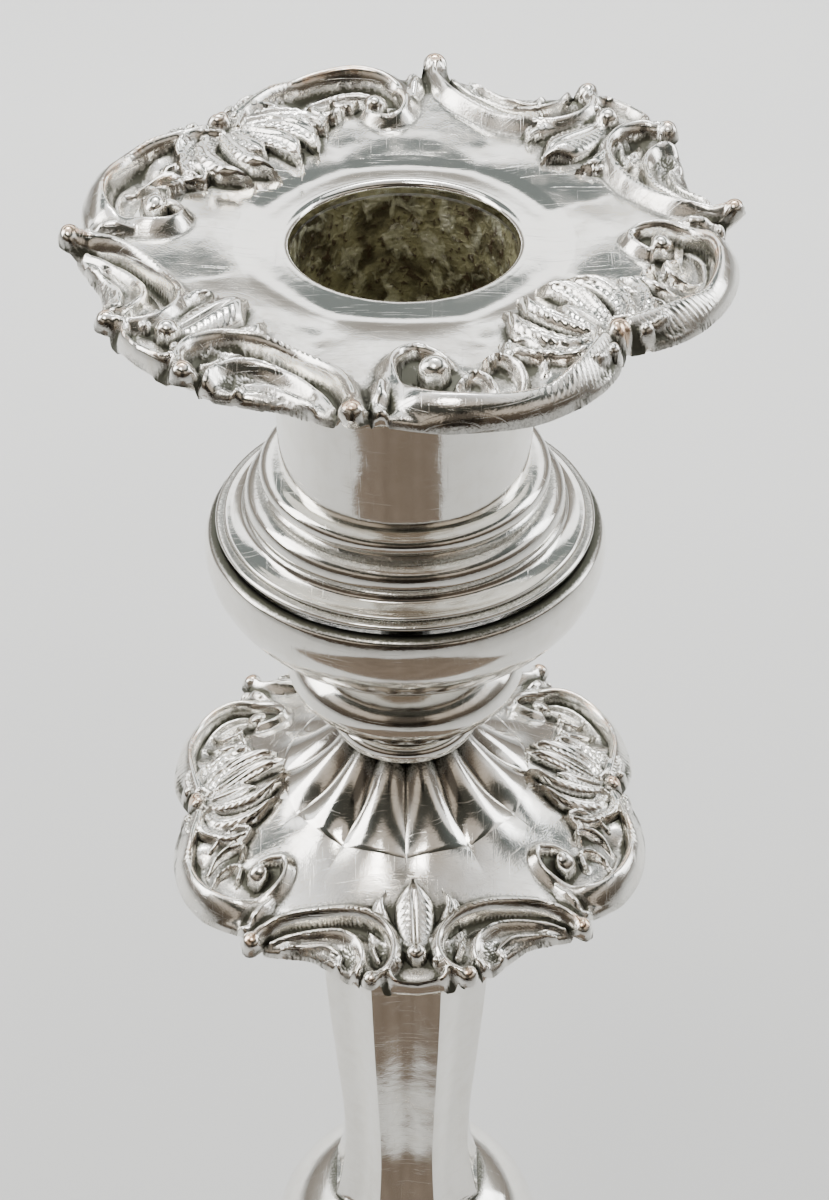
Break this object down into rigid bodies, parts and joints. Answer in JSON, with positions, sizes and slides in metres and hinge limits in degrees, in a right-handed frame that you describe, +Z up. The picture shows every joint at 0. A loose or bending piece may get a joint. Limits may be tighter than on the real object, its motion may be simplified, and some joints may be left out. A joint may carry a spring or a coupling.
{
  "type": "candlestick",
  "caption": "Silver-plated candlestick with scroll-and-leaf borders: a lift-out nozzle in a round socket, on a bulb, fluted shoulder, panelled stem and wide weighted base.",
  "frame": {"origin": "middle of the underside of the baize pad, on the surface that the candlestick stands on", "axes": "+Z up the stem and out of the candle hole; -Y towards the front, where the nozzle's and the shoulder's borders are seen from"},
  "size_m": [0.1208, 0.1204, 0.2372],
  "materials": {
    "silver_plate": "mirror-polished silver plate, slightly warm, with grey-brown tarnish in the recesses and fine scratches",
    "tarnished_silver": "mottled olive-brown tarnish with candle wax and soot",
    "steel": "plain turned steel",
    "plaster": "matt cast plaster",
    "baize": "dark green wool baize"
  },
  "bodies": {
    "stand": {"socket_tube": "silver_plate", "socket_floor": "silver_plate", "bulb_upper_shell": "silver_plate", "bulb_lower_shell": "silver_plate", "upper_knop": "silver_plate", "shoulder_flare": "silver_plate", "shoulder_border": "silver_plate", "shoulder_underplate": "silver_plate", "stem_column": "silver_plate", "lower_knop_upper_shell": "silver_plate", "lower_knop_lower_shell": "silver_plate", "base_collar": "silver_plate", "base_dome": "silver_plate", "base_border": "silver_plate", "base_foot_ring": "silver_plate", "tie_rod": "steel", "top_washer": "steel", "top_nut": "steel", "bottom_washer": "steel", "bottom_nut": "steel", "base_plate": "steel", "base_weight": "plaster", "baize_pad": "baize"},
    "nozzle": {"nozzle_pan": "silver_plate", "nozzle_border": "silver_plate", "nozzle_sleeve": "tarnished_silver", "nozzle_floor": "tarnished_silver"}
  },
  "joints": [
    {"name": "nozzle_lift", "type": "slide", "parent": "stand", "child": "nozzle", "axis": [0, 0, 1], "range_m": [0, 0.024]}
  ]
}
